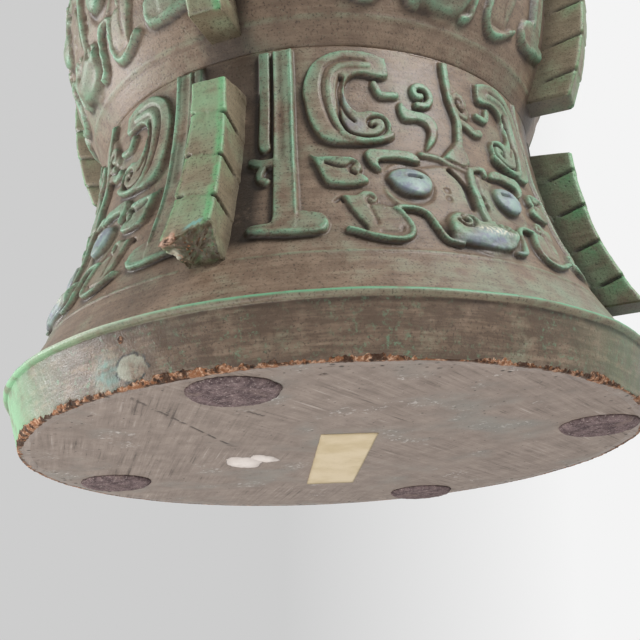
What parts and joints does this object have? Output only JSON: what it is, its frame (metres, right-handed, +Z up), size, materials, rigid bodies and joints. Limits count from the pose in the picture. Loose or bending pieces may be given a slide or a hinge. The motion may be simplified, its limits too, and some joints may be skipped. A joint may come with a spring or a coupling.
{
  "type": "zun wine vessel",
  "caption": "Trumpet-mouthed wine vessel with a bronze patina, on a tall flared foot with notched flanges, raised animal masks and a closed, felt-padded base.",
  "frame": {"origin": "centre of the footprint, on the underside of the felt pads", "axes": "+Z up along the vessel's axis, front flange at -Y, +X to the right seen from the front"},
  "size_m": [0.23, 0.23, 0.2912],
  "materials": {
    "patinated_casting": "satin brown bronze patina with green on the raised edges, over a granular cast composition",
    "patinated_flange": "satin green-brown patina, rubbed bright green on the corners",
    "ground_base": "ground flat and dulled, with fine scratches",
    "felt": "matt charcoal felt",
    "paper": "matt, yellowed"
  },
  "bodies": {
    "root": {"foot_casting": "patinated_casting", "base_plate": "ground_base", "belly_casting": "patinated_casting", "neck_casting": "patinated_casting", "foot_flange_front": "patinated_flange", "foot_flange_right": "patinated_flange", "foot_flange_back": "patinated_flange", "foot_flange_left": "patinated_flange", "belly_flange_front": "patinated_flange", "belly_flange_right": "patinated_flange", "belly_flange_back": "patinated_flange", "belly_flange_left": "patinated_flange", "neck_flange_front": "patinated_flange", "neck_flange_right": "patinated_flange", "neck_flange_back": "patinated_flange", "neck_flange_left": "patinated_flange", "felt_pad_front": "felt", "felt_pad_right": "felt", "felt_pad_back": "felt", "felt_pad_left": "felt", "paper_label": "paper"}
  },
  "joints": []
}
